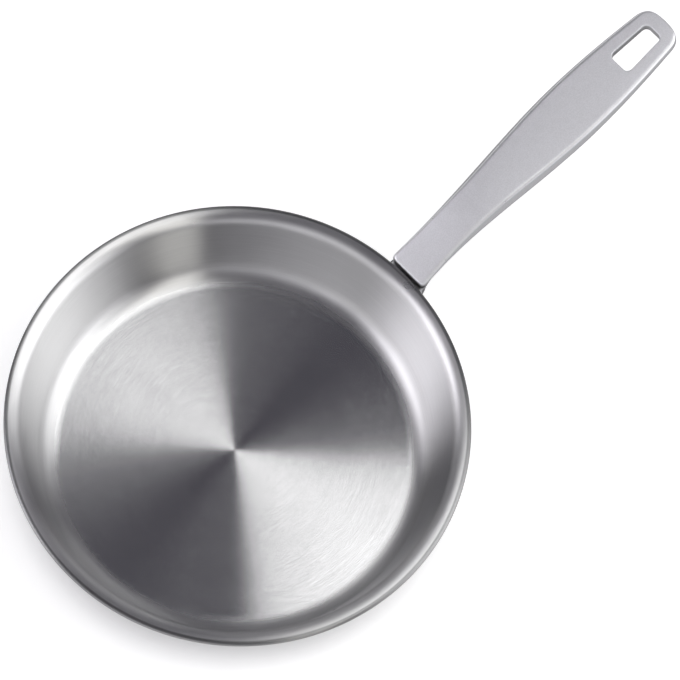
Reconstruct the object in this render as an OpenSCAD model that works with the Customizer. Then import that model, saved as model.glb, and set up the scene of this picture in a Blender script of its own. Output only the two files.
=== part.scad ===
// Frying pan: a pressed steel body with a flared lip, a capsule base under its
// floor and a cast steel handle welded to the outside of its wall.
// The origin is the centre of the underside, +Z is up and the handle points along +X.

/* [Pan body] */
// Outside diameter over the rolled edge of the lip
rim_d = 250; // [238:1:290]
// Depth of the pan, from its floor to the top of the lip
depth = 45; // [40:1:70]
// Diameter of the flat floor
floor_d = 192; // [170:1:202]
// Radius inside the pan where the floor turns up into the wall
floor_fillet_r = 11; // [6:0.5:13]
// Width of the lip, from the end of its bend to its outer edge
lip_w = 2.8; // [2.4:0.1:6]
// Radius of the bend from the wall to the lip, inside the pan
lip_bend_r = 7; // [4:0.1:8]
// Outside radius of the rolled edge of the lip
lip_edge_r = 1.6; // [1.5:0.1:2.2]
// Thickness of the body's steel sheet
sheet_t = 1.2; // [0.8:0.1:1.4]

/* [Capsule base] */
// Thickness of the aluminium disc under the floor
disc_t = 5; // [3:0.5:8]
// Thickness of the magnetic steel cap around the disc
cap_t = 0.7; // [0.5:0.1:1.2]
// Distance of the cap's side from the edge of the flat floor
cap_inset = 1; // [0.5:0.5:8]
// Outside radius of the cap's lower edge
cap_edge_r = 3; // [1.5:0.1:4.5]

/* [Handle] */
// Length of the handle outside the lip, seen from above
handle_len = 192.9; // [160:0.1:230]
// Gap between the lip and the end of the handle
root_gap = 1; // [0.8:0.1:3]
// Height of the handle's top above the lip, at the end near the pan
root_lift = 1.8; // [0.5:0.1:4]
// Rise of the handle beside the pan, in degrees
root_rise = 21.8; // [12:0.1:28]
// Rise of the grip, in degrees
grip_rise = 9.3; // [2:0.1:14]
// Distance from the root to the middle of the bend between the two rises
bend_at = 47.7; // [35:0.1:60]
// Half of the length over which the handle bends
bend_half = 22; // [10:1:30]
// Width of the handle at its root
root_w = 25; // [18:0.1:28]
// Width of the waist, the narrowest place
waist_w = 24.2; // [18:0.1:28]
// Width of the belly, the widest place
belly_w = 36; // [28:0.1:38]
// Width of the handle where its rounded tip starts to close
tip_w = 27.3; // [24:0.1:30]
// Length of the rounded tip
tip_round = 10; // [6:0.5:14]
// Thickness at the root
root_t = 5.2; // [4:0.1:7]
// Thickness at the deepest place
deep_t = 11.5; // [9:0.1:14]
// Thickness at the tip
tip_t = 8; // [6:0.1:10]
// Lean of the handle's sides out from the upright, in degrees
side_lean = 21; // [8:1:26]
// Radius of the rounded edge round the top face
top_edge_r = 2.2; // [0.8:0.1:2.6]
// Radius of the top's edge at the root
root_edge_r = 0.8; // [0.4:0.1:1.5]
// Radius of the rounded line where the sides turn under
side_edge_r = 1.8; // [1:0.1:2.5]
// Radius of the edge between the sides and the underside
under_edge_r = 2.6; // [1:0.1:3]
// Radius of the two corners at the root, seen from above
root_corner_r = 2.8; // [1.5:0.1:6]

/* [Trough under the grip] */
// Depth of the trough
trough_depth = 4.6; // [2:0.1:5.5]
// Width of the trough
trough_w = 19; // [12:0.5:20]
// Distance of the trough's start from the root
trough_from = 40; // [34:1:60]
// Distance of the trough's end from the tip
trough_to_tip = 52; // [48:1:80]
// Length over which each end of the trough runs out
trough_run = 16; // [8:1:24]

/* [Hanging slot] */
// Length of the slot
slot_len = 27.5; // [16:0.5:32]
// Width of the slot's end near the pan
slot_near_w = 13.8; // [8:0.1:15]
// Width of the slot's end near the tip
slot_far_w = 12; // [8:0.1:13]
// Radius of the slot's corners
slot_corner_r = 3.2; // [1.5:0.1:3.8]
// Wall between the slot and the end of the tip
slot_wall = 8.5; // [6:0.1:14]

/* [Bracket and weld] */
// Width of the bracket's foot on the pan's wall
foot_w = 30; // [26:1:44]
// Height of the foot, measured along the wall
foot_h = 21; // [14:1:24]
// Distance from the top of the lip down to the foot
foot_drop = 7.2; // [5.6:0.1:9]
// Radius of the foot's corners
foot_corner_r = 5; // [3:0.5:6]
// Thickness of the foot in front of the wall
foot_t = 2; // [1.5:0.1:4]
// Width of the bracket's neck under the handle
neck_w = 22.5; // [14:0.1:24]
// Thickness of the neck where it leaves the handle
neck_t = 5; // [3.5:0.1:7]
// Distance from the top of the lip down to the neck's turn towards the wall
neck_drop = 7.6; // [6.2:0.1:10]
// Radius of the neck's corners
neck_corner_r = 1.8; // [1:0.1:2.2]
// Length over which the neck's back runs out under the handle
gusset_run = 7; // [4:0.5:12]
// Radius of the weld bead round the foot
weld_r = 1.7; // [1:0.1:2.5]

/* [Hidden] */
$fn = 96;
// How far a cutting shape runs past what it cuts
overrun = 1;
// Steps along one rounded corner of a turned profile
arc_steps = 10;

function ease(u) = let (c = min(max(u, 0), 1)) c * c * (3 - 2 * c);
function mix(a, b, u) = a + (b - a) * u;

// Skin over rings of equally many points, each ring running clockwise as seen from the
// one before it. A closed loft joins its last ring to its first and has no end faces.
module loft(rings, closed = false) {
    count = len(rings);
    sides = len(rings[0]);
    skin = [
        for (j = [0:count - (closed ? 1 : 2)], i = [0:sides - 1])
            let (a = j * sides, b = (j + 1) % count * sides, next = (i + 1) % sides)
            each [[a + i, b + i, a + next], [b + i, b + next, a + next]]
    ];
    ends = closed ? [] : [
        [for (i = [0:sides - 1]) i],
        [for (i = [sides - 1:-1:0]) (count - 1) * sides + i]
    ];
    polyhedron([for (ring = rings) each ring], concat(skin, ends));
}

// Heights and radii of the base and of the body
body_z = cap_t + disc_t;
floor_z = body_z + sheet_t;
rim_z = floor_z + depth;
rim_r = rim_d / 2;
floor_r = floor_d / 2;
cap_r = floor_r - cap_inset;
disc_r = cap_r - cap_t;

// Centres of the three rounded corners of the body's profile
fillet_c = [floor_r, floor_z + floor_fillet_r];
bend_c = [rim_r - lip_w, rim_z - lip_bend_r];
edge_c = [rim_r - lip_edge_r, rim_z - lip_edge_r];

// The wall is the line that touches the floor fillet from below and the lip bend
// from above, so its lean from the upright follows from the two circles
between = bend_c - fillet_c;
wall_lean = acos((floor_fillet_r + lip_bend_r) / norm(between)) - atan2(between[1], between[0]);
wall_out = [cos(wall_lean), -sin(wall_lean)];
wall_up = [sin(wall_lean), cos(wall_lean)];

function arc(c, r, from, to, n = arc_steps) =
    [for (i = [0:n]) c + r * [cos(from + (to - from) * i / n), sin(from + (to - from) * i / n)]];

// The sheet's profile from the axis to the edge of the lip, moved out of the pan by t
function sheet_line(t) = concat(
    [[0, floor_z - t]],
    arc(fillet_c, floor_fillet_r + t, -90, -wall_lean),
    arc(bend_c, lip_bend_r - t, 180 - wall_lean, 90),
    arc(edge_c, lip_edge_r - t, 90, 0)
);

function reversed(list) = [for (i = [len(list) - 1:-1:0]) list[i]];

module pan_body() {
    color("lightgray")
        rotate_extrude()
            polygon(concat(sheet_line(sheet_t), reversed(sheet_line(0))));
}

// Profile of a disc whose lower edge is rounded
module rounded_disc_profile(r, z0, z1, edge_r) {
    polygon(concat([[0, z0]], arc([r - edge_r, z0 + edge_r], edge_r, -90, 0), [[r, z1], [0, z1]]));
}

module heat_disc() {
    color("silver")
        rotate_extrude()
            rounded_disc_profile(disc_r, cap_t, body_z, cap_edge_r - cap_t);
}

module base_cap() {
    color("gainsboro")
        rotate_extrude()
            difference() {
                rounded_disc_profile(cap_r, 0, body_z, cap_edge_r);
                rounded_disc_profile(disc_r, cap_t, body_z + overrun, cap_edge_r - cap_t);
            }
}

// Everything inside the body's outer surface, to cut what seats on the wall
module inside_wall() {
    rotate_extrude($fn = 360)
        polygon(concat(sheet_line(sheet_t), [[0, rim_z]]));
}

// The handle is a loft of upright sections. x is measured from its root.
root_x = rim_r + root_gap;
root_z = rim_z + root_lift;

// Shares of the handle's length at which it is narrowest, widest and deepest
waist_share = 0.1;
belly_share = 0.64;
deep_share = 0.33;
// Share of the thickness that lies above the line where the sides turn under
parting_share = 0.6;
// Share of the half width at which the flat underside starts
under_share = 0.74;
// Height of the crown of the top face, as a share of the thickness
crown_share = 0.03;
// Exponent of the rounded tip, 2 for a circle and more for a squarer end
tip_power = 3;

// Rises from 0 to d past the middle of a bend, rounded over the bend's length
function bent(d, half) = d <= -half ? 0 : d >= half ? d : (d + half) * (d + half) / (4 * half);

function top_z(x) = root_z + tan(root_rise) * x + (tan(grip_rise) - tan(root_rise)) * bent(x - bend_at, bend_half);

function plan_w(x) =
    let (u = x / handle_len)
    u < waist_share ? mix(root_w, waist_w, ease(u / waist_share)) :
    u < belly_share ? mix(waist_w, belly_w, ease((u - waist_share) / (belly_share - waist_share))) :
    mix(tip_w, belly_w, cos(90 * (u - belly_share) / (1 - belly_share)));

function thickness(x) =
    let (u = x / handle_len)
    u < deep_share ? mix(root_t, deep_t, ease(u / deep_share)) :
    mix(deep_t, tip_t, ease((u - deep_share) / (1 - deep_share)));

// Inset of a rounded edge of radius r at the distance d from the end
function round_in(r, d) = d >= r ? 0 : r - sqrt(max(0, r * r - (r - d) * (r - d)));

// Half width of the plan, closed by the corners at the root and by the tip
function half_w(x) =
    let (
        end_d = handle_len - x,
        tip_u = end_d >= tip_round ? 0 : 1 - end_d / tip_round,
        tip_k = pow(max(0, 1 - pow(tip_u, tip_power)), 1 / tip_power)
    )
    (plan_w(x) / 2 - round_in(root_corner_r, x)) * tip_k;

function trough(x) =
    trough_depth * ease((x - trough_from) / trough_run)
    * ease((handle_len - trough_to_tip - x) / trough_run);

// Steps along a rounded corner, half of the crown and half of the underside
corner_steps = 4;
crown_steps = 3;
under_steps = 6;

// A corner at c, rounded by a curve that starts r before it and ends r after it
function soft_corner(before, c, after, r) =
    let (
        d0 = norm(before - c),
        d1 = norm(after - c),
        p = c + (before - c) * min(r, d0 / 2) / d0,
        q = c + (after - c) * min(r, d1 / 2) / d1
    )
    [for (i = [0:corner_steps]) let (s = i / corner_steps)
        (1 - s) * (1 - s) * p + 2 * s * (1 - s) * c + s * s * q];

// Right half of a section, from the middle of the top to the middle of the underside
function half_section(hw, t, dip, inset) =
    let (
        part_z = -t * parting_share,
        lean = min(-part_z * tan(side_lean), hw * (1 - under_share)),
        top = [max(hw - lean, hw * under_share), -inset],
        side = [hw, part_z],
        under = [hw * under_share, inset - t],
        crown = t * crown_share,
        start = soft_corner([0, -inset], top, side, top_edge_r),
        end = soft_corner(side, under, [0, inset - t], under_edge_r),
        flat = end[corner_steps][0]
    )
    concat(
        [for (i = [0:crown_steps - 1])
            let (k = i / crown_steps)
            [start[0][0] * k, crown * (1 - k * k) - inset]],
        start,
        soft_corner(top, side, under, side_edge_r),
        end,
        [for (i = [1:under_steps])
            let (y = flat * (1 - i / under_steps), k = max(0, 1 - pow(2 * y / trough_w, 2)))
            [y, inset - t + dip * k * k]]
    );

// One closed section at x. The left half mirrors the right half.
function section(x) =
    let (
        inset = max(round_in(root_edge_r, x), round_in(top_edge_r, handle_len - x)),
        half = half_section(half_w(x), thickness(x), trough(x), inset),
        n = len(half)
    )
    concat(
        [for (p = half) [root_x + x, -p[0], top_z(x) + p[1]]],
        [for (i = [n - 2:-1:1]) [root_x + x, half[i][0], top_z(x) + half[i][1]]]
    );

// Places of the sections: close together at the rounded ends, even between them
end_steps = 8;
grip_steps = 32;
tip_start = handle_len - tip_round;
// The last section stands just short of the very end of the tip, so that it has a face
tip_close_share = 0.005;
tip_close = tip_round * tip_close_share;
stations = concat(
    [for (i = [0:end_steps - 1]) root_corner_r * (1 - cos(90 * i / end_steps))],
    [for (i = [0:grip_steps - 1]) mix(root_corner_r, tip_start, i / grip_steps)],
    [for (i = [0:end_steps]) tip_start + (tip_round - tip_close) * sin(90 * i / end_steps)]
);

module grip() {
    loft([for (x = stations) section(x)]);
}

// Slot for a hook, square to the grip, narrower towards the tip
slot_far_x = handle_len - slot_wall;
slot_near_x = slot_far_x - slot_len;
slot_mid_x = (slot_far_x + slot_near_x) / 2;

module hanging_slot() {
    translate([root_x + slot_mid_x, 0, top_z(slot_mid_x)])
        rotate([0, -grip_rise, 0])
            translate([0, 0, -deep_t - overrun])
                linear_extrude(deep_t + 2 * overrun)
                    hull() {
                        for (end = [-1, 1], side = [-1, 1])
                            translate([
                                end * (slot_len / 2 - slot_corner_r),
                                side * ((end < 0 ? slot_near_w : slot_far_w) / 2 - slot_corner_r)
                            ])
                                circle(slot_corner_r);
                    }
}

// A point on the outside of the wall, at the distance s along it below the lip's top
wall_top = bend_c - (lip_bend_r - sheet_t) * wall_out;
function wall_at(s) = wall_top - (s - (rim_z - wall_top[1]) / wall_up[1]) * wall_up;
foot_mid = wall_at(foot_drop / wall_up[1] + foot_h / 2);

// Depth behind the wall's face that the round wall needs across the foot's width
foot_sag = foot_mid[0] - sqrt(pow(foot_mid[0], 2) - pow(foot_w / 2 + weld_r, 2));

foot_top = foot_mid + foot_h / 2 * wall_up;
foot_bottom = foot_mid - foot_h / 2 * wall_up;

// The bracket comes down behind the lip and turns to the wall. Its front and its back
// are two curves from the handle to the foot, and each section reaches across them.
bracket_steps = 12;
bracket_corner_steps = 5;
// Shares of the neck's thickness and of the foot's height over which the curves turn
neck_turn_share = 0.5;
foot_turn_share = 0.3;

function curve(p, u) =
    let (v = 1 - u)
    v * v * v * p[0] + 3 * v * v * u * p[1] + 3 * v * u * u * p[2] + u * u * u * p[3];

function under_z(x) = top_z(x) - thickness(x);
gusset_x = neck_t + gusset_run;
front_curve = [
    [root_x + root_corner_r / 2, root_z - root_t / 2],
    [root_x + root_corner_r / 2, rim_z - neck_drop],
    foot_top + (foot_t + foot_turn_share * foot_h) * wall_out,
    foot_top + foot_t * wall_out
];
back_curve = [
    [root_x + gusset_x, under_z(gusset_x) + root_t / 2],
    [root_x + neck_t, under_z(neck_t) - neck_turn_share * neck_t],
    foot_bottom + (foot_t + foot_turn_share * foot_h) * wall_out,
    foot_bottom + foot_t * wall_out
];

// A section from the back to the front, of the given width and corner radius
function bracket_ring(back, front, w, r) =
    let (
        mid = (back + front) / 2,
        tall = norm(front - back) / 2 - r,
        up = (front - back) / norm(front - back),
        wide = w / 2 - r
    )
    [for (q = [0:3], i = [0:bracket_corner_steps])
        let (
            a = 90 * q + 90 * i / bracket_corner_steps,
            y = (q == 0 || q == 3 ? -wide : wide) - r * cos(a),
            p = mid + ((q < 2 ? tall : -tall) + r * sin(a)) * up
        )
        [p[0], y, p[1]]];

module bracket() {
    inward = (foot_sag + foot_t) * wall_out;
    loft(concat(
        [for (i = [0:bracket_steps]) let (u = i / bracket_steps)
            bracket_ring(
                curve(back_curve, u), curve(front_curve, u),
                mix(neck_w, foot_w, ease(u)), mix(neck_corner_r, foot_corner_r, u)
            )],
        [bracket_ring(back_curve[3] - inward, front_curve[3] - inward, foot_w, foot_corner_r)]
    ));
}

module handle() {
    color("silver")
        difference() {
            union() {
                grip();
                bracket();
            }
            inside_wall();
            hanging_slot();
        }
}

// The bead follows the foot's outline on the round wall
bead_sides = 10;
bead_corner_steps = 6;
function foot_outline() = [
    for (q = [0:3], i = [0:bead_corner_steps])
        let (
            a = 90 * q + 90 * i / bead_corner_steps,
            cy = (q == 0 || q == 3 ? 1 : -1) * (foot_w / 2 - foot_corner_r),
            cs = (q < 2 ? 1 : -1) * (foot_h / 2 - foot_corner_r)
        )
        [cy + foot_corner_r * cos(a), cs + foot_corner_r * sin(a), a]
];

// A ring of the bead: out is the way off the wall, side is the way off the foot
function bead_ring(p) =
    let (
        up_s = foot_mid + p[1] * wall_up,
        around = asin(p[0] / up_s[0]),
        centre = [up_s[0] * cos(around), p[0], up_s[1]],
        out = [wall_out[0] * cos(around), wall_out[0] * sin(around), wall_out[1]],
        tangent = [-sin(around), cos(around), 0],
        up = cross(out, tangent),
        side = cos(p[2]) * tangent + sin(p[2]) * up
    )
    [for (i = [0:bead_sides - 1]) let (a = 360 * i / bead_sides)
        centre + weld_r * (cos(a) * side - sin(a) * out)];

module weld_bead() {
    color("darkgray")
        difference() {
            loft([for (p = foot_outline()) bead_ring(p)], closed = true);
            inside_wall();
            bracket();
        }
}

pan_body();
heat_disc();
base_cap();
handle();
weld_bead();
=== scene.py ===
# A stainless steel frying pan of the usual 24 cm size, 250 mm across its lip: a brushed
# body, a capsule base under its floor, and a long cast handle welded to its wall.
# Metres, origin at the centre of the underside, +Z up, the handle along +X.
import bpy
import bmesh
import numpy as np
from mathutils import Matrix


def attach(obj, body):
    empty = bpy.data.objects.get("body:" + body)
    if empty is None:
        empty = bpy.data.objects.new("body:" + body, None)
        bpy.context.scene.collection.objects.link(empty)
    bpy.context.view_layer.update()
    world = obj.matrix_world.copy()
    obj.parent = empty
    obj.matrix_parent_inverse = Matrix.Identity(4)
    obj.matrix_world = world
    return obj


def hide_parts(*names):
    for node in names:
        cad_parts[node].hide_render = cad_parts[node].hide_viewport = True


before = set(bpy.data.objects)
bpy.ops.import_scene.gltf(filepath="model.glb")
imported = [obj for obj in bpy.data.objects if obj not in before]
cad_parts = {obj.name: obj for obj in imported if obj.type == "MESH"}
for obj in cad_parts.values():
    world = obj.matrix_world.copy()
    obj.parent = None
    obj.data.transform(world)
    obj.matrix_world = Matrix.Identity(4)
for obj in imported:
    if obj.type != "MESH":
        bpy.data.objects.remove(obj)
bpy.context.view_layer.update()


# Base cap
# The magnetic steel dish that the pan stands on. It is pressed from thin sheet, closes round
# the aluminium disc, and is turned on a lathe, which leaves rings on its underside.
def arc(centre, radius, start, end, steps):
    """Points on a circle: centre + radius (cos a, sin a), with a even from start to end degrees."""
    a = np.radians(np.linspace(start, end, steps + 1))
    return np.stack([centre[0] + radius * np.cos(a), centre[1] + radius * np.sin(a)], axis=1)


def made_of(name, points, faces, material, slot):
    """A closed, smooth, outward-facing mesh object from points and faces, riding on the pan."""
    same_place = 1e-7
    mesh = bpy.data.meshes.new(name)
    mesh.from_pydata(points.tolist(), [], faces if isinstance(faces, list) else faces.tolist())
    shell = bmesh.new()
    shell.from_mesh(mesh)
    bmesh.ops.remove_doubles(shell, verts=shell.verts, dist=same_place)
    bmesh.ops.recalc_face_normals(shell, faces=shell.faces)
    shell.to_mesh(mesh)
    shell.free()
    mesh.shade_smooth()
    mesh.materials.append(material)
    piece = bpy.data.objects.new(name, mesh)
    bpy.context.scene.collection.objects.link(piece)
    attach(piece, "root")
    return piece


def grid_faces(rows, columns, wrap_rows=False, wrap_columns=False):
    """Quads of a grid whose point (i, j) has the number i * columns + j."""
    i = np.arange(rows if wrap_rows else rows - 1)[:, None]
    j = np.arange(columns if wrap_columns else columns - 1)[None, :]
    a, b = i * columns + j, (i + 1) % rows * columns + j
    c, d = (i + 1) % rows * columns + (j + 1) % columns, i * columns + (j + 1) % columns
    return np.stack([a, b, c, d], axis=-1).reshape(-1, 4)


def turned(profile, turns):
    """Points and faces of a profile (r, z) turned about Z: (r cos a, r sin a, z), a round the circle."""
    a = np.linspace(0, 2 * np.pi, turns, endpoint=False)
    r, z = profile[:, :1], profile[:, 1:]
    points = np.stack([r * np.cos(a), r * np.sin(a), z + 0 * a], axis=-1).reshape(-1, 3)
    return points, grid_faces(len(profile), turns, wrap_columns=True)


def feed(tree, node, values):
    """Fills the node's inputs, each known by its name or number, with plain values or with
    other nodes' outputs."""
    for key, value in values.items():
        if isinstance(value, bpy.types.NodeSocket):
            tree.links.new(value, node.inputs[key])
        else:
            node.inputs[key].default_value = value


def wire(tree, kind, *values, settings=None, **named):
    """A new node with its settings, whose inputs take the values in order and by name."""
    node = tree.nodes.new(kind)
    for key, value in (settings or {}).items():
        setattr(node, key, value)
    feed(tree, node, {**dict(enumerate(values)), **named})
    return node


def number(tree, operation, *values):
    """The number that a math operation makes of the values."""
    return wire(tree, "ShaderNodeMath", *values, settings={"operation": operation}).outputs[0]


def vector(tree, operation, *values):
    """What a vector operation makes of the values: a number for LENGTH and DOT_PRODUCT."""
    made = wire(tree, "ShaderNodeVectorMath", *values, settings={"operation": operation}).outputs
    return made["Value" if operation in ("LENGTH", "DOT_PRODUCT") else "Vector"]


def scaled(tree, colour, share):
    """The colour or vector times the share."""
    scale = {"operation": "SCALE"}
    return wire(tree, "ShaderNodeVectorMath", colour, settings=scale, Scale=share).outputs["Vector"]


def mapped(tree, value, start, end, low=0.0, high=1.0, soft=False):
    """The value taken in proportion from start and end to low and high, and held beyond
    them. A soft one follows 3 u^2 - 2 u^3 between them."""
    way = {"interpolation_type": "SMOOTHSTEP" if soft else "LINEAR"}
    return wire(tree, "ShaderNodeMapRange", value, start, end, low, high, settings=way).outputs[0]


def blend(tree, share, first, second):
    """The colour (1 - share) first + share second."""
    mix = wire(tree, "ShaderNodeMix", share, settings={"data_type": "RGBA"})
    feed(tree, mix, {6: first, 7: second})
    return mix.outputs[2]


def noise(tree, where, scale, detail, roughness=0.5):
    """Smooth noise about 0.5, read at where times the scale, with finer noise added detail
    times, each weaker by the roughness."""
    settled = {"Scale": scale, "Detail": detail, "Roughness": roughness}
    return wire(tree, "ShaderNodeTexNoise", Vector=where, **settled).outputs[0]


def group(name, inputs, outputs):
    """An empty node group with the named float inputs and outputs."""
    tree = bpy.data.node_groups.new(name, "ShaderNodeTree")
    for label, value in inputs.items():
        socket = tree.interface.new_socket(label, in_out="INPUT", socket_type="NodeSocketFloat")
        socket.default_value = value
    for label in outputs:
        tree.interface.new_socket(label, in_out="OUTPUT", socket_type="NodeSocketFloat")
    return tree, tree.nodes.new("NodeGroupInput").outputs, tree.nodes.new("NodeGroupOutput")


def brushed_rings():
    """Brush marks in circles about Z. Noise is read at ((r + climb z) / width, n cos a + shift,
    n sin a + shift), where n is the arcs, so that each mark is a thin arc. The shift keeps the
    circle off the noise's own grid. Marks is 0 to 1, Grooves is a height, Clouds is a wide
    mottle and Radius mm is the distance from Z."""
    climb, shift, wide_scale, wide_share = 1.4, (0.37, 0.61, 0.0), (0.17, 0.6, 0.6), 0.6
    faintest, strongest, cloud_scale, in_mm = 0.5, 1.1, 22.0, 1000.0
    tree, given, out = group(
        "brushed rings", {"Width mm": 0.3, "Arcs": 5.0}, ["Marks", "Grooves", "Clouds", "Radius mm"])
    place = wire(tree, "ShaderNodeTexCoord").outputs["Object"]
    x, y, z = wire(tree, "ShaderNodeSeparateXYZ", place).outputs
    flat = wire(tree, "ShaderNodeCombineXYZ", x, y, 0.0).outputs[0]
    radius = vector(tree, "LENGTH", flat)
    out_mm = number(tree, "MULTIPLY", number(tree, "MULTIPLY_ADD", z, climb, radius), in_mm)
    steps = number(tree, "DIVIDE", out_mm, given["Width mm"])
    ring = scaled(tree, vector(tree, "NORMALIZE", flat), given["Arcs"])
    ring_x, ring_y, _ = wire(tree, "ShaderNodeSeparateXYZ", vector(tree, "ADD", ring, shift)).outputs
    where = wire(tree, "ShaderNodeCombineXYZ", steps, ring_x, ring_y).outputs[0]
    fine = noise(tree, where, scale=1.0, detail=3.0, roughness=0.6)
    wide = noise(tree, vector(tree, "MULTIPLY", where, wide_scale), scale=1.0, detail=2.0)
    both = number(tree, "MULTIPLY_ADD", wide, wide_share, fine)
    feed(tree, out, {
        "Marks": mapped(tree, both, faintest, strongest), "Grooves": fine,
        "Clouds": noise(tree, place, cloud_scale, detail=4.0, roughness=0.55),
        "Radius mm": number(tree, "MULTIPLY", radius, in_mm)})
    return tree


def new_metal(name):
    """A new material of bare metal, its node tree and its shader."""
    material = bpy.data.materials.new(name)
    material.use_nodes = True
    metal = material.node_tree.nodes["Principled BSDF"]
    metal.inputs["Metallic"].default_value = 1.0
    return material, material.node_tree, metal


def shades(colour, darker, lighter):
    """The colour times darker and the colour times lighter, neither of them beyond white."""
    return [tuple(min(c * share, 1.0) for c in colour) + (1.0,) for share in (darker, lighter)]


RINGS = brushed_rings()


def brushed_steel(
        name, colour, roughness, width_mm, arcs, depth_mm, spread=0.9, contrast=0.1, wall=None, lip=None):
    """Steel brushed or turned in circles. The brush marks change its colour and roughness a
    little and are cut into its normal; the shader's anisotropy spreads the shine across them.
    Beyond a wall, (radius, width, roughness), the roughness changes over the width, and beyond
    a lip, (radius, width, share), the colour is multiplied by the share, a painted shade."""
    quarter_turn, rough_swing, smoothest_at, roughest_at, mm = 0.25, 0.1, 0.3, 0.7, 1000
    material, tree, steel = new_metal(name)
    brushed = {"Width mm": width_mm, "Arcs": arcs}
    marks = wire(tree, "ShaderNodeGroup", settings={"node_tree": RINGS}, **brushed).outputs
    tone = blend(tree, marks["Marks"], *shades(colour, 1 - contrast, 1 + contrast))
    low, high = roughness * (1 - rough_swing), roughness * (1 + rough_swing)
    rough = mapped(tree, marks["Clouds"], smoothest_at, roughest_at, low, high)
    if wall:
        start, width, wall_roughness = wall
        gain = wall_roughness / roughness
        more = mapped(tree, marks["Radius mm"], mm * start, mm * (start + width), 1.0, gain, soft=True)
        rough = number(tree, "MULTIPLY", rough, more)
    # Painted shade: the colour darkened beyond the lip's radius
    if lip:
        start, width, lip_shade_share = lip
        less = mapped(tree, marks["Radius mm"], mm * start, mm * (start + width), 1.0, lip_shade_share, soft=True)
        tone = scaled(tree, tone, less)
    relief = wire(tree, "ShaderNodeBump", Strength=1.0, Distance=depth_mm / mm, Height=marks["Grooves"])
    feed(tree, steel, {
        "Base Color": tone, "Roughness": rough, "Normal": relief.outputs[0],
        "Anisotropic": spread, "Anisotropic Rotation": quarter_turn})
    return material


disc_t, cap_t = 0.005, 0.0007
cap_r, cap_edge_r, cap_turns = 0.095, 0.003, 384
pole_r, flat_rings, flat_short, round_steps = 0.002, 10, 0.001, 12
disc_r = cap_r - cap_t
body_z = disc_t + cap_t
cap_flat_r = cap_r - cap_edge_r - flat_short
cap_profile = np.concatenate([
    [[0, 0]], [[r, 0] for r in np.linspace(pole_r, cap_flat_r, flat_rings)],
    arc((cap_r - cap_edge_r, cap_edge_r), cap_edge_r, -90, 0, round_steps),
    [[cap_r, body_z], [disc_r, body_z]],
    arc((disc_r - cap_edge_r + cap_t, cap_edge_r), cap_edge_r - cap_t, 0, -90, round_steps),
    [[0, cap_t]]])
cap_steel = brushed_steel(
    "turned cap steel", (0.66, 0.65, 0.64), roughness=0.3, width_mm=0.35, arcs=1.5, depth_mm=0.004,
    contrast=0.12)
base_cap = made_of("base_cap_turned", *turned(cap_profile, cap_turns), cap_steel, "cap_steel")
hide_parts("base_cap")


# Heat disc
# The plain aluminium disc that lies in the cap and spreads the heat. It is brazed to the
# cap and to the body, and nothing of it shows on a finished pan.
rolled = (40.0, 900.0, 900.0)
disc_metal, tree, mill = new_metal("disc aluminium")
place = wire(tree, "ShaderNodeTexCoord").outputs["Object"]
stretched = wire(tree, "ShaderNodeMapping", Vector=place, Scale=rolled).outputs[0]
grain = noise(tree, stretched, scale=1.0, detail=3.0)
feed(tree, mill, {
    "Base Color": blend(tree, grain, (0.72, 0.72, 0.73, 1), (0.86, 0.86, 0.87, 1)),
    "Roughness": mapped(tree, grain, 0.0, 1.0, 0.35, 0.5)})
heat_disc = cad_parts["heat_disc"]
heat_disc.data.materials.clear()
heat_disc.data.materials.append(disc_metal)


# Pan body
# One pressed sheet of stainless steel: a flat floor, a fillet, a straight wall that leans
# out, and a lip bent flat whose edge is rolled under. It is brushed in circles all over.
rim_r, depth, floor_r = 0.125, 0.045, 0.096
floor_fillet_r, lip_w, lip_bend_r, lip_edge_r, sheet_t = 0.011, 0.0028, 0.007, 0.0016, 0.0012
run_in, body_turns = 0.0024, 512
fine_steps, keep_each, room = 12, 5, 4 * run_in
floor_rings, fillet_steps, bend_steps, roll_steps = 12, 40, 30, 10
floor_z = body_z + sheet_t
rim_z = floor_z + depth
fillet_c = np.array([floor_r, floor_z + floor_fillet_r])
bend_c = np.array([rim_r - lip_w, rim_z - lip_bend_r])
edge_c = np.array([rim_r - lip_edge_r, rim_z - lip_edge_r])

# The wall touches the fillet's circle from below and the bend's circle from above
between = bend_c - fillet_c
wall_lean = np.degrees(
    np.arccos((floor_fillet_r + lip_bend_r) / np.hypot(*between)) - np.arctan2(between[1], between[0]))
wall_out = np.array([np.cos(np.radians(wall_lean)), -np.sin(np.radians(wall_lean))])
wall_up = np.array([np.sin(np.radians(wall_lean)), np.cos(np.radians(wall_lean))])


def sheet_line(t):
    """One face of the sheet, t below the inside: floor, fillet, wall, bend, lip and rolled edge.
    The press lets one run softly into the next, so a point is the mean of those within
    run_in of it along the line, weighted by a raised cosine."""
    step, soft_from = run_in / fine_steps, floor_r - room
    sharp = np.concatenate([
        [[soft_from, floor_z - t]], arc(fillet_c, floor_fillet_r + t, -90, -wall_lean, fillet_steps),
        arc(bend_c, lip_bend_r - t, 180 - wall_lean, 90, bend_steps),
        [[edge_c[0], rim_z - t], [edge_c[0] + 2 * run_in, rim_z - t]]])
    length = np.concatenate([[0], np.cumsum(np.hypot(*np.diff(sharp, axis=0).T))])
    at = np.arange(0, length[-1], step)
    weight = 1 + np.cos(np.linspace(-np.pi, np.pi, 2 * fine_steps + 1))
    weight = weight / weight.sum()
    soft = np.stack([
        np.convolve(np.interp(at, length, sharp[:, k]), weight, "valid") for k in (0, 1)], axis=1)
    soft = soft[soft[:, 0] < edge_c[0] - step][::keep_each]
    return np.concatenate([
        [[0, floor_z - t]], [[r, floor_z - t] for r in np.linspace(pole_r, soft_from, floor_rings)],
        soft, arc(edge_c, lip_edge_r - t, 90, 0, roll_steps)])
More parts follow.
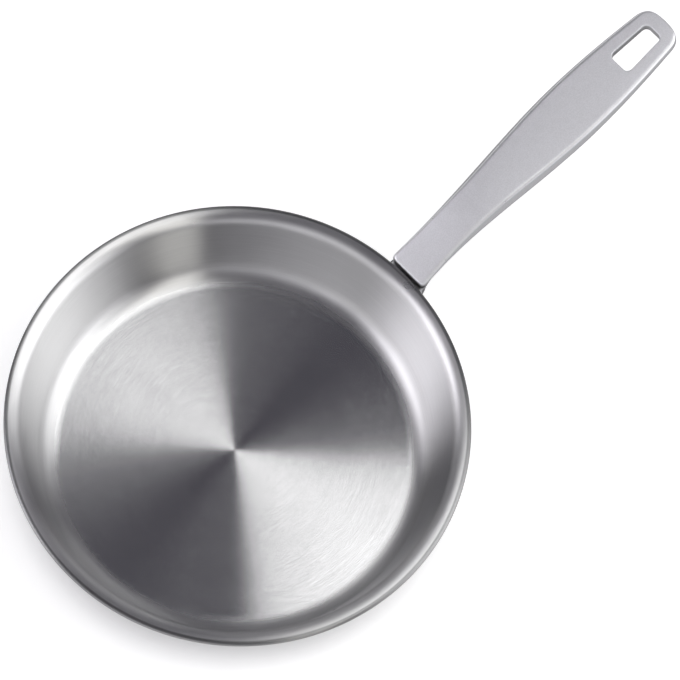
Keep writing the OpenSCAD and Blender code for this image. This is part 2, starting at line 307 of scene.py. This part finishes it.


# The wall is less polished than the floor, and the rolled edge of the lip is darker by painted shade
finish_shift, finish_width, wall_roughness, lip_fade, lip_shade_share = 0.003, 0.006, 0.3, 0.001, 0.45
body_steel = brushed_steel(
    "circle-brushed steel", (0.6, 0.6, 0.6), roughness=0.115, width_mm=0.22, arcs=6.0, depth_mm=0.016,
    spread=1.0, contrast=0.06, wall=(floor_r - finish_shift, finish_width, wall_roughness),
    lip=(rim_r - lip_w, lip_fade, lip_shade_share))
body = made_of(
    "pan_body_pressed", *turned(np.concatenate([sheet_line(0), sheet_line(sheet_t)[::-1]]), body_turns),
    body_steel, "body_steel")
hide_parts("pan_body")


# Handle
# One steel casting, bead blasted to an even satin: an arched grip with flared sides, a
# trough beneath, a rounded tip with a hanging slot, and a bracket down to the wall.
handle_len, root_gap, root_lift = 0.1929, 0.001, 0.0018
root_rise, grip_rise, bend_at, bend_half = np.radians(21.8), np.radians(9.3), 0.0477, 0.022
root_w, waist_w, belly_w, tip_w, tip_round = 0.025, 0.0242, 0.036, 0.0273, 0.010
root_t, deep_t, tip_t = 0.0052, 0.0115, 0.008
side_lean = np.radians(21)
top_edge_r, side_edge_r, under_edge_r, root_corner_r = 0.0022, 0.0018, 0.0026, 0.0028
trough_depth, trough_w, trough_from, trough_to_tip, trough_run = 0.0046, 0.019, 0.040, 0.052, 0.016
slot_len, slot_near_w, slot_far_w, slot_corner_r, slot_wall = 0.0275, 0.0138, 0.012, 0.0032, 0.0085
slot_edge_r, tip_edge_r, root_edge_r, slant_run, tip_short = 0.0006, 0.0025, 0.0008, 0.03, 0.0001
waist_share, belly_share, deep_share = 0.1, 0.64, 0.33
parting_share, under_share, crown_share, tip_power = 0.6, 0.74, 0.03, 3.0
root_x, root_z = rim_r + root_gap, rim_z + root_lift


def ease(u):
    """0 below 0, 1 above 1, and 3 u^2 - 2 u^3 between them."""
    c = np.clip(u, 0, 1)
    return c * c * (3 - 2 * c)


def top_z(x):
    """Height of the top's middle line: it rises at root_rise, turns over a parabola of half
    length bend_half about bend_at, and goes on at grip_rise."""
    d = x - bend_at
    in_bend = (d + bend_half) ** 2 / (4 * bend_half)
    turned_by = np.where(d <= -bend_half, 0, np.where(d >= bend_half, d, in_bend))
    return root_z + np.tan(root_rise) * x + (np.tan(grip_rise) - np.tan(root_rise)) * turned_by


def thickness(x):
    """From root_t at the root to deep_t and on to tip_t, eased between them."""
    u = x / handle_len
    near = root_t + (deep_t - root_t) * ease(u / deep_share)
    far = deep_t + (tip_t - deep_t) * ease((u - deep_share) / (1 - deep_share))
    return np.where(u < deep_share, near, far)


def round_in(r, d):
    """How far a rounded edge of radius r lies inside its corner, at the distance d from the
    end: r - sqrt(r^2 - (r - d)^2), and none beyond r."""
    return r - np.sqrt(np.maximum(r * r - np.clip(r - d, 0, r) ** 2, 0))


def half_width(x):
    """Half the width from above: root, waist, belly and tip, closed by the root's rounded
    corners and by the tip's rounded end, (1 - u^p)^(1/p)."""
    u = x / handle_len
    near = root_w + (waist_w - root_w) * ease(u / waist_share)
    middle = waist_w + (belly_w - waist_w) * ease((u - waist_share) / (belly_share - waist_share))
    far = tip_w + (belly_w - tip_w) * np.cos(np.pi / 2 * (u - belly_share) / (1 - belly_share))
    width = np.where(u < waist_share, near, np.where(u < belly_share, middle, far))
    closing = np.clip(1 - (handle_len - x) / tip_round, 0, 1)
    return (width / 2 - round_in(root_corner_r, x)) * (1 - closing ** tip_power) ** (1 / tip_power)


def soft_corner(before, corner, after, r, s):
    """The point at s, 0 to 1, of a curve that leaves the line to a corner r before it and
    joins the line beyond r after it: (1 - s)^2 start + 2 s (1 - s) corner + s^2 end. Lines
    are pairs of arrays (y, z)."""
    no_length = 1e-9
    d0 = np.hypot(before[0] - corner[0], before[1] - corner[1])
    d1 = np.hypot(after[0] - corner[0], after[1] - corner[1])
    k0 = np.minimum(r, d0 / 2) / np.maximum(d0, no_length)
    k1 = np.minimum(r, d1 / 2) / np.maximum(d1, no_length)
    return [
        (1 - s) ** 2 * (c + (b - c) * k0) + 2 * s * (1 - s) * c + s * s * (c + (a - c) * k1)
        for b, c, a in zip(before, corner, after)]


def section(x, share, side):
    """A point (y, z) of the upright section at x, z from the top's middle line. side names the
    stretch: "top" and "under" go out from the middle with share, "edge", "parting" and
    "lower" are the three rounded corners of the side. At the root and the tip both faces
    draw in by the inset, which rounds the ends' edges. The top is crowned, t (1 - share^2),
    and the trough's dip is (1 - y^2)^2 across the underside."""
    hw, t = half_width(x), thickness(x)
    inset = np.maximum(round_in(root_edge_r, x), round_in(tip_edge_r, handle_len - x))
    lean = np.minimum(t * parting_share * np.tan(side_lean), hw * (1 - under_share))
    middle, top = (0 * x, -inset), (np.maximum(hw - lean, hw * under_share), -inset)
    parting, under = (hw, -t * parting_share), (hw * under_share, inset - t)
    beneath = (0 * x, inset - t)
    if side == "edge":
        return soft_corner(middle, top, parting, top_edge_r, share)
    if side == "parting":
        return soft_corner(top, parting, under, side_edge_r, share)
    if side == "lower":
        return soft_corner(parting, under, beneath, under_edge_r, share)
    if side == "top":
        flat = soft_corner(middle, top, parting, top_edge_r, 0)[0]
        return [flat * share, t * crown_share * (1 - share ** 2) - inset]
    y = share * soft_corner(parting, under, beneath, under_edge_r, 1)[0]
    starts, ends = (x - trough_from) / trough_run, (handle_len - trough_to_tip - x) / trough_run
    dip = trough_depth * ease(starts) * ease(ends)
    return [y, inset - t + dip * np.maximum(0, 1 - (2 * y / trough_w) ** 2) ** 2]


# Stations along the grip. Those round the slot follow its rounded outline
slot_far, slot_near = handle_len - slot_wall, handle_len - slot_wall - slot_len
slot_mid = (slot_far + slot_near) / 2
quarter, side_stations = np.linspace(0, np.pi / 2, 9), 16
grip_stations, root_stations, tip_stations = 130, 12, 40


def slot_outline(offset):
    """The slot's half outline, offset outwards: places s along the grip, from its middle, and
    half widths h. A quarter circle at each end, and straight sides that taper to the tip."""
    r, half = slot_corner_r + offset, slot_len / 2 - slot_corner_r
    near_h, far_h = slot_near_w / 2 - slot_corner_r, slot_far_w / 2 - slot_corner_r
    sides = np.linspace(0, 1, side_stations)[1:-1]
    s = np.concatenate([-half - r * np.cos(quarter), -half + 2 * half * sides, half + r * np.sin(quarter)])
    h = np.concatenate([
        near_h + r * np.sin(quarter), near_h + r + (far_h - near_h) * sides, far_h + r * np.cos(quarter)])
    return s, h


slot_s, slot_h = slot_outline(slot_edge_r)
slot_x = slot_mid + slot_s * np.cos(grip_rise)
before = np.linspace(root_corner_r, slot_x[0], grip_stations)[1:-1]
root_end = root_corner_r * (1 - np.cos(np.linspace(0, np.pi / 2, root_stations)))
tip_run = handle_len - tip_short - slot_x[-1]
beyond = slot_x[-1] + tip_run * np.sin(np.linspace(0, np.pi / 2, tip_stations))[1:]
station = np.concatenate([root_end, before, slot_x, beyond])
first, last = len(root_end) + len(before), len(station) - len(beyond) - 1

# Columns go round half a section: the middle, the slot's edge, the flat, the three rounded
# corners of the side, and back under it. The slot is square to the grip, so the underside's
# columns stand further on towards the tip there by the same slant.
inner_n, outer_n, corner_n = 7, 9, 7
slant = thickness(station) * np.sin(grip_rise) * np.cos(grip_rise) * np.interp(
    station, [slot_x[0] - slant_run, slot_x[0], slot_x[-1], handle_len], [0, 1, 1, 0])
under_x = station + slant


def flat_columns(x, side):
    """Points of the flat top or underside, from the middle to the slot's edge and on to the
    rounded corner. Away from the slot its edge's share of the flat carries on."""
    flat = section(x, 0, "edge")[0] if side == "top" else section(x, 1, "lower")[0]
    edge = np.interp(station, slot_x, slot_h / flat[first:last + 1])[:, None]
    inner, outer = np.linspace(0, 1, inner_n + 1), np.linspace(0, 1, outer_n + 1)[1:]
    share = np.concatenate([edge * inner, edge + (1 - edge) * outer], axis=1)
    x = x[:, None] + 0 * share
    y, z = section(x, share, side)
    return np.stack([x, y, z + top_z(x)], axis=-1)


def corner_columns(side, slant_share, skip_first, skip_last):
    """Points round one of the side's rounded corners, at the given share of the slant."""
    share = np.linspace(0, 1, corner_n + 1)[skip_first:corner_n + 1 - skip_last]
    x = (station + slant * slant_share)[:, None] + 0 * share
    y, z = section(x, share, side)
    return np.stack([x, y, z + top_z(x)], axis=-1)


half_ring = np.concatenate([
    flat_columns(station, "top"), corner_columns("edge", 0, 1, 0),
    corner_columns("parting", parting_share, 0, 0), corner_columns("lower", 1, 0, 1),
    flat_columns(under_x, "under")[:, ::-1]], axis=1)
half_n = half_ring.shape[1] - 1
rings = np.concatenate([half_ring * (1, -1, 1), half_ring[:, -2:0:-1]], axis=1)
ring_n = rings.shape[1]
quads = grid_faces(len(station), ring_n, wrap_columns=True).reshape(len(station) - 1, ring_n, 4)
column = np.arange(ring_n)
over_slot = np.minimum(column, ring_n - 1 - column) < inner_n
under_slot = np.abs(column + 0.5 - half_n) < inner_n
keep = np.ones(quads.shape[:2], bool)
keep[first:last] = ~(over_slot | under_slot)

# The slot's wall joins the two holes. Its loop goes along one side, across the far end, back
# along the other side and across the near end, and its edges are quarter circles.
rows = np.arange(first, last + 1)
across = np.arange(inner_n - 1, -inner_n, -1)
loop_row = np.concatenate([rows, 0 * across + last, rows[::-1], 0 * across + first])
loop_column = np.concatenate([0 * rows + inner_n, across, 0 * rows - inner_n, across[::-1]])
top_ids = loop_row * ring_n + loop_column % ring_n
under_ids = loop_row * ring_n + (half_n - loop_column) % ring_n
grid_points = rings.reshape(-1, 3)
wall_s, wall_h = slot_outline(0)
down = np.array([np.sin(grip_rise), 0, -np.cos(grip_rise)])


def slot_corner(ids, slanted):
    """The sharp corner between the slot's wall and the face that the ids lie on: the slot's
    own outline, as high as the face is there."""
    x = slot_mid + wall_s[loop_row - first] * np.cos(grip_rise) + (slant[loop_row] if slanted else 0)
    y = -wall_h[loop_row - first] * loop_column / inner_n
    return np.stack([x, y, grid_points[ids][:, 2] - top_z(grid_points[ids][:, 0]) + top_z(x)], axis=1)


wall_rings, slot_edge_steps = [], 5
for ids, way, slanted in ((top_ids, down, False), (under_ids, -down, True)):
    corner = slot_corner(ids, slanted)
    steps = [
        corner + (grid_points[ids] - corner) * (1 - np.sin(a)) + way * slot_edge_r * (1 - np.cos(a))
        for a in np.linspace(0, np.pi / 2, slot_edge_steps + 1)[1:]]
    wall_rings += steps if not slanted else steps[::-1]
wall_ids = len(grid_points) + np.arange(len(wall_rings) * len(top_ids)).reshape(len(wall_rings), -1)
wall_ids = np.concatenate([top_ids[None], wall_ids, under_ids[None]])
next_ids = np.roll(wall_ids, -1, 1)
wall_quads = np.stack([wall_ids[:-1], wall_ids[1:], next_ids[1:], next_ids[:-1]], axis=-1)
grip_points = np.concatenate([grid_points] + wall_rings) + (root_x, 0, 0)
grip_faces = np.concatenate([quads[keep], wall_quads.reshape(-1, 4)]).tolist()
grip_faces += [list(range(ring_n)), list(range((len(station) - 1) * ring_n, len(station) * ring_n))]


def blasted_grain():
    """The grain that bead blasting leaves on steel, three noises of a few millimetres, half a
    millimetre and a fifth. Mottle is the first, Tone is mottle + specks (s - 1/2) with s the
    second, and Pits, the third, is a height."""
    mottle_scale, speck_scale, pit_scale, faintest, strongest = 260.0, 1600.0, 5200.0, 0.35, 0.65
    tree, given, out = group("blasted grain", {"Specks": 0.6}, ["Tone", "Mottle", "Pits"])
    place = wire(tree, "ShaderNodeTexCoord").outputs["Object"]
    mottle = noise(tree, place, mottle_scale, detail=4.0, roughness=0.6)
    specks = mapped(tree, noise(tree, place, speck_scale, detail=1.0), faintest, strongest)
    specks = number(tree, "MULTIPLY_ADD", specks, given["Specks"], mottle)
    middle = number(tree, "MULTIPLY", given["Specks"], 0.5)
    feed(tree, out, {
        "Tone": number(tree, "SUBTRACT", specks, middle), "Mottle": mottle,
        "Pits": noise(tree, place, pit_scale, detail=2.0, roughness=0.6)})
    return tree


GRAIN = blasted_grain()


def satin_casting(name, colour, roughness, side_shade_share=1.0, edge_share=1.0):
    """Bead-blasted steel: an even, slightly mottled grey with a fine pitted grain. The
    attribute below_top, in millimetres, tells the rounded edge, where the roughness turns to
    edge_share of itself, from the casting's side, where the colour turns to side_shade_share of
    itself, a painted shade, and shines less at a glance. The attribute root_painted_shade, 0 to 1, is
    how much further painted shade darkens the colour."""
    darker, lighter, rough_swing, glance_share, shade_darkens = 0.93, 1.06, 0.04, 0.4, 0.93
    side_shade_from, side_shade_to, edge_from, edge_to, glance_to = 0.7, 1.8, 0.1, 0.5, 0.9
    smoothest_at, roughest_at, pit_strength, pit_depth = 0.3, 0.7, 0.5, 0.00003
    material, tree, steel = new_metal(name)
    grain = wire(tree, "ShaderNodeGroup", settings={"node_tree": GRAIN}).outputs
    tone = blend(tree, grain["Tone"], *shades(colour, darker, lighter))
    low, high = roughness - rough_swing, roughness + rough_swing
    rough = mapped(tree, grain["Mottle"], smoothest_at, roughest_at, low, high)
    relief = wire(
        tree, "ShaderNodeBump", Strength=pit_strength, Distance=pit_depth, Height=grain["Pits"])
    depth, scale = [
        wire(tree, "ShaderNodeAttribute", settings={"attribute_name": label}).outputs["Fac"]
        for label in ("below_top", "root_painted_shade")]
    # Painted shade: the casting's side is coloured darker than its top
    side = mapped(tree, depth, side_shade_from, side_shade_to, 1.0, side_shade_share, soft=True)
    # Painted shade at the casting's root and in its slot darkens the colour here
    bare = number(tree, "MULTIPLY_ADD", scale, -shade_darkens, 1.0)
    edge = mapped(tree, depth, edge_from, edge_to, 1.0, edge_share)
    glance = mapped(tree, depth, edge_from, glance_to, 1.0, glance_share)
    feed(tree, steel, {
        "Base Color": scaled(tree, tone, number(tree, "MULTIPLY", side, bare)),
        "Roughness": number(tree, "MULTIPLY", rough, edge), "Normal": relief.outputs[0],
        "Specular Tint": wire(tree, "ShaderNodeCombineXYZ", glance, glance, glance).outputs[0]})
    return material


def eased(value, none_at, full_at):
    """0 at none_at and beyond it, 1 at full_at and beyond it, and eased between the two."""
    return ease((value - none_at) / (full_at - none_at))


# Where the root's painted shade is none and where it is full: three depths below the top in
# millimetres, a distance from the root, and one towards the near side. The far side and the
# slot have less
shade_top, shade_foot, shade_slot = (1.54, 2.94), (9.0, 6.0), (0.32, 1.12)
shade_along, shade_aside, far_share, slot_share = (0.0056, 0.0021), (0.0054, 0.0084), 0.45, 0.45


def mark_depth(piece):
    """Gives each point the attributes below_top, its depth under the top's middle line in
    millimetres, and root_painted_shade, the share of painted shade at the casting's root and in its
    slot, a product of eased steps in depth, along and aside."""
    mesh = piece.data
    points = np.empty(3 * len(mesh.vertices), np.float32)
    mesh.vertices.foreach_get("co", points)
    points = points.reshape(-1, 3)
    along, aside = points[:, 0] - root_x, points[:, 1]
    below = 1000 * (top_z(along) - points[:, 2])
    # Painted shade at the root's end and corners, more towards the near side, and in the slot
    at_root = eased(below, *shade_top) * eased(below, *shade_foot) * eased(along, *shade_along)
    at_root = at_root * (far_share + (1 - far_share) * eased(-aside, *shade_aside))
    by_slot = np.abs(along - slot_mid) < slot_len / 2 + slot_edge_r
    in_slot = by_slot & (np.abs(aside) < slot_near_w / 2 + slot_edge_r)
    scale = np.maximum(at_root, slot_share * in_slot * eased(below, *shade_slot))
    for label, values in (("below_top", below), ("root_painted_shade", scale)):
        mark = mesh.attributes.new(label, "FLOAT", "POINT")
        mark.data.foreach_set("value", values.astype(np.float32))


# The grip's sides carry a painted shade, darker than its top
handle_steel = satin_casting("bead-blasted steel", (0.73, 0.73, 0.75), 0.58, side_shade_share=0.56, edge_share=0.5)
grip = made_of("handle_grip", grip_points, grip_faces, handle_steel, "handle_steel")
mark_depth(grip)
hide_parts("handle")


# Bracket
# The part of the casting that comes down behind the lip and turns to the wall. It widens
# and thickens from its neck under the grip to the foot that is welded on.
foot_w, foot_h, foot_drop, foot_corner_r, foot_t = 0.030, 0.021, 0.0072, 0.005, 0.002
neck_w, neck_t, neck_drop, neck_corner_r, gusset_run = 0.0225, 0.005, 0.0076, 0.0018, 0.007
neck_turn_share, foot_turn_share = 0.5, 0.3
length_n, turn_n, closing_shares = 49, 9, [1, 0.8, 0.6, 0.4, 0.2, 0.01]
wall_top = bend_c - (lip_bend_r - sheet_t) * wall_out
foot_s = foot_drop / wall_up[1] + foot_h / 2
foot_mid = wall_top - (foot_s - (rim_z - wall_top[1]) / wall_up[1]) * wall_up
gusset_x = neck_t + gusset_run


def curve(p, u):
    """The cubic curve of four points: (1-u)^3 p0 + 3 (1-u)^2 u p1 + 3 (1-u) u^2 p2 + u^3 p3."""
    u, v = u[:, None], 1 - u[:, None]
    return v ** 3 * p[0] + 3 * v * v * u * p[1] + 3 * v * u * u * p[2] + u ** 3 * p[3]


def under_z(x):
    """Height of the grip's underside at x from the root: the top's height less the thickness."""
    return top_z(x) - thickness(x)


front, back = [
    np.array([start, turn, foot + (foot_t + foot_turn_share * foot_h) * wall_out, foot + foot_t * wall_out])
    for start, turn, foot in (
        ([root_x + root_corner_r / 2, root_z - root_t / 2], [root_x + root_corner_r / 2, rim_z - neck_drop],
         foot_mid + foot_h / 2 * wall_up),
        ([root_x + gusset_x, under_z(gusset_x) + root_t / 2],
         [root_x + neck_t, under_z(neck_t) - neck_turn_share * neck_t], foot_mid - foot_h / 2 * wall_up))]
u = np.linspace(0, 1, length_n)
front_line, back_line = curve(front, u), curve(back, u)
across_w = neck_w + (foot_w - neck_w) * ease(u)
corner_r = neck_corner_r + (foot_corner_r - neck_corner_r) * u
tall = np.hypot(*(front_line - back_line).T)
up = (front_line - back_line) / tall[:, None]
turn = np.radians(np.concatenate([np.linspace(90 * q, 90 * q + 90, turn_n) for q in range(4)]))
y_side = np.repeat([-1, 1, 1, -1], turn_n)
z_side = np.repeat([1, 1, -1, -1], turn_n)
y = y_side * (across_w / 2 - corner_r)[:, None] - corner_r[:, None] * np.cos(turn)
rise = z_side * (tall / 2 - corner_r)[:, None] + corner_r[:, None] * np.sin(turn)
middle = (front_line + back_line)[:, None] / 2 + rise[..., None] * up[:, None]
bracket_rings = np.stack([middle[..., 0], y, middle[..., 1]], axis=-1)

# The foot's end lies in the wall, which is round, so its rings close in along the wall
foot_ring = bracket_rings[-1]
closing = np.array(closing_shares)[:, None]
y = foot_ring[:, 1] * closing
z = foot_mid[1] + (foot_ring[:, 2] - foot_mid[1]) * closing
wall_r = foot_mid[0] + (z - foot_mid[1]) * wall_up[0] / wall_up[1] - sheet_t / 2
bracket_rings = np.concatenate([bracket_rings, np.stack([np.sqrt(wall_r ** 2 - y ** 2), y, z], axis=-1)])
bracket_points = bracket_rings.reshape(-1, 3)
rows, ring = bracket_rings.shape[:2]
bracket_faces = grid_faces(rows, ring, wrap_columns=True).tolist()
bracket_faces += [list(range(ring)), list(range((rows - 1) * ring, rows * ring))]
# The bracket under the lip is painted a little darker than the grip, and its sides darker still: painted
# shade
bracket_steel = satin_casting("bead-blasted bracket steel", (0.7, 0.7, 0.72), 0.5, side_shade_share=0.85)
bracket = made_of("handle_bracket", bracket_points, bracket_faces, bracket_steel, "handle_steel")
mark_depth(bracket)
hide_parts("handle")


# Weld bead
# The weld that joins the foot to the wall, laid in short overlapping puddles, so that it is
# rippled, and left as welded, a little darker than the steel round it. Its inner side is
# flat, halfway through the sheet.
weld_r, bead_n, bead_sides = 0.0017, 480, 20
ripple, ripple_power, ripple_share, waver, waver_share = 0.0016, 0.6, 0.14, 900, 0.03
side_y, side_s = foot_w / 2 - foot_corner_r, foot_h / 2 - foot_corner_r
lengths = np.array([2 * side_s, np.pi / 2 * foot_corner_r, 2 * side_y, np.pi / 2 * foot_corner_r] * 2)
along = np.linspace(0, lengths.sum(), bead_n, endpoint=False)
starts = np.concatenate([[0], np.cumsum(lengths)])
stretch = np.searchsorted(starts, along, side="right") - 1
done = (along - starts[stretch]) / lengths[stretch]

# The bead follows the foot's outline: four straight sides in turn with four round corners
corner_y, corner_s = np.array([1, -1, -1, 1]) * side_y, np.array([1, 1, -1, -1]) * side_s
is_corner = stretch % 2 == 1
leaves, meets = (stretch // 2 - 1) % 4, (stretch // 2) % 4
reached = np.where(is_corner, 1, done)
centre_y = corner_y[leaves] + (corner_y[meets] - corner_y[leaves]) * reached
centre_s = corner_s[leaves] + (corner_s[meets] - corner_s[leaves]) * reached
angle = np.radians(90 * (stretch // 2 + np.where(is_corner, done, 0)))
bead_y = centre_y + foot_corner_r * np.cos(angle)
bead_s = centre_s + foot_corner_r * np.sin(angle)
at_wall = foot_mid + bead_s[:, None] * wall_up
round_by = np.arcsin(bead_y / at_wall[:, 0])
cos_r, sin_r, level_z = np.cos(round_by), np.sin(round_by), 0 * round_by
centre = np.stack([at_wall[:, 0] * cos_r, bead_y, at_wall[:, 1]], axis=1)
out = np.stack([wall_out[0] * cos_r, wall_out[0] * sin_r, wall_out[1] + level_z], axis=1)
tangent = np.stack([-sin_r, cos_r, level_z], axis=1)
aside = np.cos(angle)[:, None] * tangent + np.sin(angle)[:, None] * np.cross(out, tangent)
puddle = np.abs(np.sin(np.pi * along / ripple)) ** ripple_power
radius = weld_r * (1 - ripple_share + ripple_share * puddle)
radius = radius * (1 - waver_share + waver_share * np.sin(along * waver))
a = np.linspace(0, 2 * np.pi, bead_sides, endpoint=False)
outward = np.maximum(-radius[:, None] * np.sin(a), -sheet_t / 2)[..., None]
bead = centre[:, None] + (radius[:, None] * np.cos(a))[..., None] * aside[:, None] + outward * out[:, None]
bead_faces = grid_faces(bead_n, bead_sides, wrap_rows=True, wrap_columns=True)
weld_steel = satin_casting("weld steel", (0.52, 0.5, 0.47), 0.38)
weld = made_of("weld_bead_rippled", bead.reshape(-1, 3), bead_faces, weld_steel, "weld_steel")
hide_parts("weld_bead")


# Floor
# A plain white sweep, a hair under the pan. It glows to the camera and in the metal, so that
# both show it white, but its glow to the camera fades out close to the pan, a painted shadow
# over the shadow the lamps cast there. From below it isn't seen, so that the pan's underside is.
floor_half, under_pan = 3.0, -0.0003
paint, open_glow, metal_glow, glow_from, glow_full = 0.7, 0.57, 0.5, 0.101, 0.131
floor_corners = [(x * floor_half, y * floor_half, under_pan) for x, y in ((-1, -1), (1, -1), (1, 1), (-1, 1))]
floor_mesh = bpy.data.meshes.new("floor")
floor_mesh.from_pydata(floor_corners, [], [(0, 1, 2, 3)])
floor = bpy.data.objects.new("floor", floor_mesh)
bpy.context.scene.collection.objects.link(floor)
white = bpy.data.materials.new("white sweep")
white.use_nodes = True
tree = white.node_tree
feed(tree, tree.nodes["Principled BSDF"], {
    "Base Color": (paint, paint, paint, 1), "Roughness": 0.9, "Specular IOR Level": 0.0})
rays = wire(tree, "ShaderNodeLightPath").outputs
from_pan = vector(tree, "LENGTH", wire(tree, "ShaderNodeTexCoord").outputs["Object"])
# A painted shadow: the glow to the camera fades out towards the pan
glow_past_painted_shadow = mapped(tree, from_pan, glow_from, glow_full, 0.0, open_glow, soft=True)
to_camera = number(tree, "MULTIPLY", rays["Is Camera Ray"], glow_past_painted_shadow)
to_metal = number(tree, "MULTIPLY", rays["Is Glossy Ray"], metal_glow)
strength = number(tree, "ADD", to_camera, to_metal)
glow = wire(tree, "ShaderNodeEmission", (1, 1, 1, 1), strength).outputs[0]
lit = wire(tree, "ShaderNodeAddShader", tree.nodes["Principled BSDF"].outputs[0], glow).outputs[0]
below = wire(tree, "ShaderNodeNewGeometry").outputs["Backfacing"]
clear = wire(tree, "ShaderNodeBsdfTransparent").outputs[0]
shown = wire(tree, "ShaderNodeMixShader", below, lit, clear).outputs[0]
feed(tree, tree.nodes["Material Output"], {"Surface": shown})
floor_mesh.materials.append(white)


# Light
# A dim studio with eight soft boxes, painted on the world and so all far off. The camera
# itself sees the studio white.
dim = (0.072, 0.068, 0.086)
world = bpy.data.worlds.new("studio")
bpy.context.scene.world = world
world.use_nodes = True
tree = world.node_tree
tree.nodes.clear()
looking = wire(tree, "ShaderNodeTexCoord").outputs["Generated"]


def soft_box(total, azimuth, elevation, turned_by, half_w, half_h, softness, strength, tint=(1, 1, 1)):
    """Adds a soft box to the total colour. Its middle lies at the azimuth and elevation, it is
    turned about its middle, and it fades over its softness, all in degrees. A direction with
    the parts x and y along the box's sides and z towards its middle is in the box where
    |x| / z and |y| / z are less than the tangents of half its width and height. Its strength
    is how bright it looks, where 1 is white."""
    az, el, turn = np.radians([azimuth, elevation, turned_by])
    away = np.array([np.cos(el) * np.cos(az), np.cos(el) * np.sin(az), np.sin(el)])
    level = np.array([-np.sin(az), np.cos(az), 0.0])
    side = np.cos(turn) * level + np.sin(turn) * np.cross(away, level)
    just_ahead = 0.001
    ahead = number(tree, "MAXIMUM", vector(tree, "DOT_PRODUCT", looking, away), just_ahead)
    fade = np.tan(np.radians(softness))
    inside = []
    for way, half in ((side, half_w), (np.cross(away, side), half_h)):
        part = number(tree, "DIVIDE", vector(tree, "DOT_PRODUCT", looking, way), ahead)
        edge = np.tan(np.radians(half))
        inside.append(mapped(
            tree, number(tree, "ABSOLUTE", part), edge + fade / 2, edge - fade / 2, soft=True))
    share = number(tree, "MULTIPLY", number(tree, "MULTIPLY", *inside), strength)
    return vector(tree, "ADD", total, scaled(tree, tint, share))


# Each box has its azimuth, elevation, turn, half width, half height, softness, strength and,
# where it isn't white, its tint. First the key box, high on the right, which makes the
# floor's bright sectors, and a long narrow box nearer the camera
studio = wire(tree, "ShaderNodeCombineXYZ", *dim).outputs[0]
studio = soft_box(studio, 343.5, 69.75, 158.3, 11.1, 13.95, 0.3, 2.65)
studio = soft_box(studio, 260.6, 51.6, -20.6, 8.0, 33.1, 7.0, 1.32, (1.02, 1.01, 0.96))

# Wide low boxes at the right, at the left and below the camera, which light the wall and the
# handle's side
studio = soft_box(studio, 306.7, 15.6, -22.3, 22.8, 39.6, 44.7, 2.70)
studio = soft_box(studio, 140.1, 26.5, -32.5, 20.0, 21.7, 23.7, 2.85, (1.0, 0.98, 1.03))
studio = soft_box(studio, 219.2, -8.7, -39.7, 59.7, 33.2, 45.0, 1.19, (1.0, 0.99, 1.02))

# Three dim boxes behind the pan: one high, one low and wide, and one beyond the handle's tip
studio = soft_box(studio, 60.9, 60.3, -15.6, 8.0, 8.9, 7.1, 1.33)
studio = soft_box(studio, 75.7, -3.7, -3.9, 50.8, 16.6, 7.0, 0.48)
studio = soft_box(studio, 17.7, 17.8, 24.4, 13.6, 14.1, 7.0, 0.52)
reflected = wire(tree, "ShaderNodeBackground", studio).outputs[0]
white_sky = wire(tree, "ShaderNodeBackground", (1, 1, 1, 1)).outputs[0]
for_camera = wire(tree, "ShaderNodeLightPath").outputs["Is Camera Ray"]
shown = wire(tree, "ShaderNodeMixShader", for_camera, reflected, white_sky).outputs[0]
wire(tree, "ShaderNodeOutputWorld", shown)


# Camera
# Above and in front of the pan, with a long lens, tilted until the handle points up to the
# right. Its values come from a fit to the lip, the floor's edge and the handle.
azimuth, elevation, roll, distance = np.radians(-53.4), np.radians(68.766), np.radians(10.0), 2.70970
aside_m, above_m, look_z, lens, sensor_w, sees_to = 0.05715, 0.05960, floor_z, 264.706, 36.0, 20.0
level = np.array([np.cos(azimuth), np.sin(azimuth), 0.0])
towards = np.array([np.sin(azimuth), -np.cos(azimuth), 0.0])
back_way = np.cos(elevation) * towards + np.array([0.0, 0.0, np.sin(elevation)])
upright = np.cross(back_way, level)
right = np.cos(roll) * level + np.sin(roll) * upright
top = -np.sin(roll) * level + np.cos(roll) * upright
eye = np.array([0, 0, look_z]) + distance * back_way + aside_m * right + above_m * top
camera_data = bpy.data.cameras.new("camera")
camera_data.sensor_width = sensor_w
camera_data.lens = lens
camera_data.clip_end = sees_to
camera = bpy.data.objects.new("camera", camera_data)
camera.matrix_world = Matrix(np.stack([right, top, back_way, eye], axis=1).tolist()).to_4x4()
bpy.context.scene.collection.objects.link(camera)
bpy.context.scene.camera = camera
bpy.context.scene.view_settings.view_transform = "Standard"
